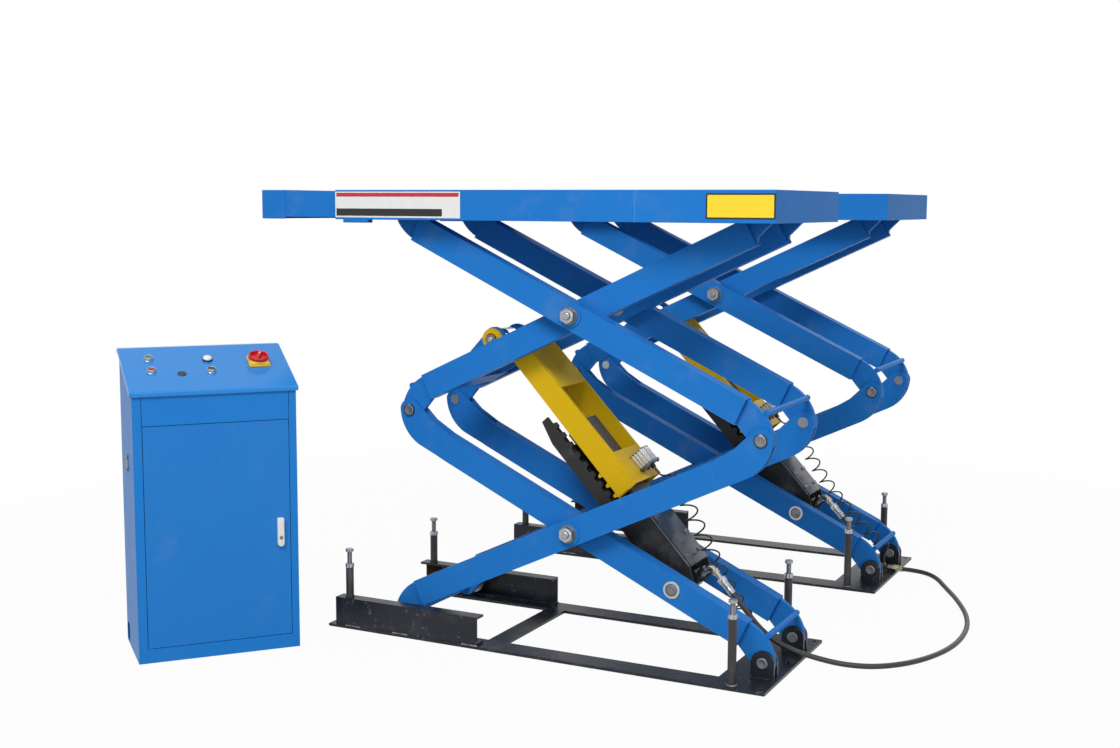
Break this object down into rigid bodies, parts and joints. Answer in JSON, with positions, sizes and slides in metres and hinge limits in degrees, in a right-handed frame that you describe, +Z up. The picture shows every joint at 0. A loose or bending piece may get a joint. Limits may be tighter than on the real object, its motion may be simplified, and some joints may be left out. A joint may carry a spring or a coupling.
{
  "type": "scissor lift",
  "caption": "Low-rise vehicle scissor lift: platforms with pull-out ends on floor frames, hydraulic cylinders with toothed safety latches, a connecting hose and a control cabinet.",
  "frame": {"origin": "on the floor, at the middle of the outermost anchor holes of both base frames", "axes": "+Z up, +X along the platforms towards the fixed arm pivots, +Y from the front unit to the rear unit"},
  "size_m": [2.603, 2.6329, 1.549],
  "materials": {
    "black_paint": "semi-gloss enamel",
    "blue_paint": "satin powder coat",
    "cabinet_blue": "fine-textured powder coat",
    "yellow_paint": "gloss enamel",
    "zinc_steel": "zinc plated",
    "cylinder_black": "gloss enamel",
    "hard_chrome": "polished",
    "cast_aluminium": "machined",
    "air_tube": "smooth",
    "hose_rubber": "matt",
    "brass_fitting": "machined",
    "chrome_trim": "polished",
    "white_plastic": "smooth",
    "green_plastic": "smooth",
    "red_plastic": "smooth",
    "black_plastic": "smooth",
    "white_lens": "smooth",
    "yellow_plastic": "smooth"
  },
  "bodies": {
    "floor": {"front_base_frame": "black_paint", "rear_base_frame": "black_paint", "front_base_rails": "black_paint", "rear_base_rails": "black_paint", "levelling_bolts": "zinc_steel", "base_pins": "zinc_steel", "front_curly_air_hose": "air_tube", "rear_curly_air_hose": "air_tube", "hydraulic_hose": "hose_rubber", "rear_cylinder_hose": "hose_rubber", "hose_fittings": "brass_fitting", "cabinet_shell": "cabinet_blue", "cabinet_console": "cabinet_blue", "power_unit": "black_paint", "control_collars": "chrome_trim", "signal_lamp": "white_lens", "buzzer": "black_plastic", "switch_base": "yellow_plastic"},
    "front_lower_inner": {"front_lower_inner_arms": "blue_paint", "front_lower_arm_pins": "zinc_steel", "front_cylinder_foot_shaft": "zinc_steel"},
    "front_lower_outer": {"front_lower_outer_arms": "blue_paint", "front_mid_right_pins": "zinc_steel"},
    "front_upper_inner": {"front_upper_inner_arms": "blue_paint", "front_upper_centre_pins": "zinc_steel"},
    "front_upper_outer": {"front_upper_outer_arms": "blue_paint"},
    "front_deck": {"front_platform": "blue_paint", "front_platform_pins": "zinc_steel"},
    "front_extension": {"front_platform_extension": "blue_paint"},
    "front_base_roller_pair": {"front_base_rollers": "zinc_steel"},
    "front_top_roller_pair": {"front_top_rollers": "zinc_steel"},
    "front_cylinder": {"front_cylinder_tube": "cylinder_black", "front_latch_rack": "black_paint"},
    "front_piston_rod": {"front_cylinder_rod": "hard_chrome"},
    "front_latch": {"front_latch_bracket": "yellow_paint", "front_latch_air_cylinder": "cast_aluminium"},
    "rear_lower_inner": {"rear_lower_inner_arms": "blue_paint", "rear_lower_arm_pins": "zinc_steel", "rear_cylinder_foot_shaft": "zinc_steel"},
    "rear_lower_outer": {"rear_lower_outer_arms": "blue_paint", "rear_mid_right_pins": "zinc_steel"},
    "rear_upper_inner": {"rear_upper_inner_arms": "blue_paint", "rear_upper_centre_pins": "zinc_steel"},
    "rear_upper_outer": {"rear_upper_outer_arms": "blue_paint"},
    "rear_deck": {"rear_platform": "blue_paint", "rear_platform_pins": "zinc_steel"},
    "rear_extension": {"rear_platform_extension": "blue_paint"},
    "rear_base_roller_pair": {"rear_base_rollers": "zinc_steel"},
    "rear_top_roller_pair": {"rear_top_rollers": "zinc_steel"},
    "rear_cylinder": {"rear_cylinder_tube": "cylinder_black", "rear_latch_rack": "black_paint"},
    "rear_piston_rod": {"rear_cylinder_rod": "hard_chrome"},
    "rear_latch": {"rear_latch_bracket": "yellow_paint", "rear_latch_air_cylinder": "cast_aluminium"},
    "door": {"cabinet_door": "cabinet_blue"},
    "door_handle": {"cabinet_door_handle": "white_plastic"},
    "green_button": {"green_button": "green_plastic"},
    "red_button": {"red_button": "red_plastic"},
    "black_button": {"black_button": "black_plastic"},
    "switch_knob": {"switch_knob": "red_plastic"}
  },
  "joints": [
    {"name": "front_lower_inner_hinge", "type": "hinge", "parent": "floor", "child": "front_lower_inner", "pos_m": [0.7635, -0.665, 0.06], "axis": [0, 1, 0], "range_deg": [-23.2, 0], "deforming": ["front_curly_air_hose"]},
    {"name": "front_lower_centre_pivot", "type": "hinge", "parent": "front_lower_inner", "child": "front_lower_outer", "pos_m": [0.10627, -0.665, 0.42131], "axis": [0, 1, 0], "range_deg": [0, 46.41]},
    {"name": "front_middle_pivot", "type": "hinge", "parent": "front_lower_inner", "child": "front_upper_inner", "pos_m": [-0.55096, -0.665, 0.78263], "axis": [0, 1, 0], "range_deg": [0, 46.41]},
    {"name": "front_upper_centre_pivot", "type": "hinge", "parent": "front_upper_inner", "child": "front_upper_outer", "pos_m": [0.10627, -0.665, 1.14395], "axis": [0, 1, 0], "range_deg": [-46.41, 0]},
    {"name": "front_deck_pivot", "type": "hinge", "parent": "front_upper_inner", "child": "front_deck", "pos_m": [0.7635, -0.665, 1.50526], "axis": [0, 1, 0], "range_deg": [-23.21, 0]},
    {"name": "front_cylinder_foot", "type": "hinge", "parent": "front_lower_inner", "child": "front_cylinder", "pos_m": [0.45149, -0.665, 0.26006], "axis": [0, 1, 0], "range_deg": [-9.15, 0]},
    {"name": "front_piston_slide", "type": "slide", "parent": "front_cylinder", "child": "front_piston_rod", "axis": [-0.6751, 0, 0.7378], "range_m": [-0.26846, 0]},
    {"name": "front_latch_pivot", "type": "hinge", "parent": "front_piston_rod", "child": "front_latch", "pos_m": [-0.26091, -0.665, 1.03863], "axis": [0, 1, 0], "range_deg": [-1.5, 1], "deforming": ["front_curly_air_hose"]},
    {"name": "front_extension_slide", "type": "slide", "parent": "front_deck", "child": "front_extension", "axis": [1, 0, 0], "range_m": [0, 0.18]},
    {"name": "front_base_roller_spin", "type": "hinge", "parent": "front_lower_outer", "child": "front_base_roller_pair", "pos_m": [-0.55096, -0.665, 0.06], "axis": [0, 1, 0], "continuous": true},
    {"name": "front_top_roller_spin", "type": "hinge", "parent": "front_upper_outer", "child": "front_top_roller_pair", "pos_m": [-0.55096, -0.665, 1.50526], "axis": [0, 1, 0], "continuous": true},
    {"name": "rear_lower_inner_hinge", "type": "hinge", "parent": "floor", "child": "rear_lower_inner", "pos_m": [0.7635, 0.665, 0.06], "axis": [0, 1, 0], "range_deg": [-23.21, 0], "deforming": ["rear_curly_air_hose"]},
    {"name": "rear_lower_centre_pivot", "type": "hinge", "parent": "rear_lower_inner", "child": "rear_lower_outer", "pos_m": [0.10627, 0.665, 0.42131], "axis": [0, 1, 0], "range_deg": [0, 46.41]},
    {"name": "rear_middle_pivot", "type": "hinge", "parent": "rear_lower_inner", "child": "rear_upper_inner", "pos_m": [-0.55096, 0.665, 0.78263], "axis": [0, 1, 0], "range_deg": [0, 46.41]},
    {"name": "rear_upper_centre_pivot", "type": "hinge", "parent": "rear_upper_inner", "child": "rear_upper_outer", "pos_m": [0.10627, 0.665, 1.14395], "axis": [0, 1, 0], "range_deg": [-46.41, 0]},
    {"name": "rear_deck_pivot", "type": "hinge", "parent": "rear_upper_inner", "child": "rear_deck", "pos_m": [0.7635, 0.665, 1.50526], "axis": [0, 1, 0], "range_deg": [-23.21, 0]},
    {"name": "rear_cylinder_foot", "type": "hinge", "parent": "rear_lower_inner", "child": "rear_cylinder", "pos_m": [0.45149, 0.665, 0.26006], "axis": [0, 1, 0], "range_deg": [-9.15, 0]},
    {"name": "rear_piston_slide", "type": "slide", "parent": "rear_cylinder", "child": "rear_piston_rod", "axis": [-0.6751, 0, 0.7378], "range_m": [-0.26846, 0]},
    {"name": "rear_latch_pivot", "type": "hinge", "parent": "rear_piston_rod", "child": "rear_latch", "pos_m": [-0.26091, 0.665, 1.03863], "axis": [0, 1, 0], "range_deg": [-1.5, 1], "deforming": ["rear_curly_air_hose"]},
    {"name": "rear_extension_slide", "type": "slide", "parent": "rear_deck", "child": "rear_extension", "axis": [1, 0, 0], "range_m": [0, 0.18]},
    {"name": "rear_base_roller_spin", "type": "hinge", "parent": "rear_lower_outer", "child": "rear_base_roller_pair", "pos_m": [-0.55096, 0.665, 0.06], "axis": [0, 1, 0], "continuous": true},
    {"name": "rear_top_roller_spin", "type": "hinge", "parent": "rear_upper_outer", "child": "rear_top_roller_pair", "pos_m": [-0.55096, 0.665, 1.50526], "axis": [0, 1, 0], "continuous": true},
    {"name": "door_hinge", "type": "hinge", "parent": "floor", "child": "door", "pos_m": [-1.08357, -1.59522, 0.1], "axis": [0, 0, 1], "range_deg": [-110, 0]},
    {"name": "door_handle_turn", "type": "hinge", "parent": "door", "child": "door_handle", "pos_m": [-0.79993, -1.26341, 0.4405], "axis": [0.766, -0.6428, 0], "range_deg": [0, 90]},
    {"name": "green_button_press", "type": "slide", "parent": "floor", "child": "green_button", "axis": [-0.2782, 0.2335, -0.9317], "range_m": [0, 0.004], "stiffness_N_per_m": 400, "springref_m": -0.002},
    {"name": "red_button_press", "type": "slide", "parent": "floor", "child": "red_button", "axis": [-0.2782, 0.2335, -0.9317], "range_m": [0, 0.004], "stiffness_N_per_m": 400, "springref_m": -0.002},
    {"name": "black_button_press", "type": "slide", "parent": "floor", "child": "black_button", "axis": [-0.2782, 0.2335, -0.9317], "range_m": [0, 0.004], "stiffness_N_per_m": 400, "springref_m": -0.002},
    {"name": "main_switch_turn", "type": "hinge", "parent": "floor", "child": "switch_knob", "pos_m": [-0.94109, -1.18608, 0.96265], "axis": [0.2782, -0.2335, 0.9317], "range_deg": [0, 90]}
  ],
  "couplings": [
    {"joint": "front_lower_centre_pivot", "follows": "front_lower_inner_hinge", "ratio": -2},
    {"joint": "front_middle_pivot", "follows": "front_lower_inner_hinge", "ratio": -2},
    {"joint": "front_upper_centre_pivot", "follows": "front_lower_inner_hinge", "ratio": 2},
    {"joint": "front_deck_pivot", "follows": "front_lower_inner_hinge", "ratio": 1},
    {"joint": "front_cylinder_foot", "follows": "front_lower_inner_hinge", "ratio": 0.394},
    {"joint": "front_piston_slide", "follows": "front_lower_inner_hinge", "m_per_rad": 0.66177},
    {"joint": "rear_lower_inner_hinge", "follows": "front_lower_inner_hinge", "ratio": 1},
    {"joint": "rear_lower_centre_pivot", "follows": "front_lower_inner_hinge", "ratio": -2},
    {"joint": "rear_middle_pivot", "follows": "front_lower_inner_hinge", "ratio": -2},
    {"joint": "rear_upper_centre_pivot", "follows": "front_lower_inner_hinge", "ratio": 2},
    {"joint": "rear_deck_pivot", "follows": "front_lower_inner_hinge", "ratio": 1},
    {"joint": "rear_cylinder_foot", "follows": "front_lower_inner_hinge", "ratio": 0.394},
    {"joint": "rear_piston_slide", "follows": "front_lower_inner_hinge", "m_per_rad": 0.66177}
  ]
}
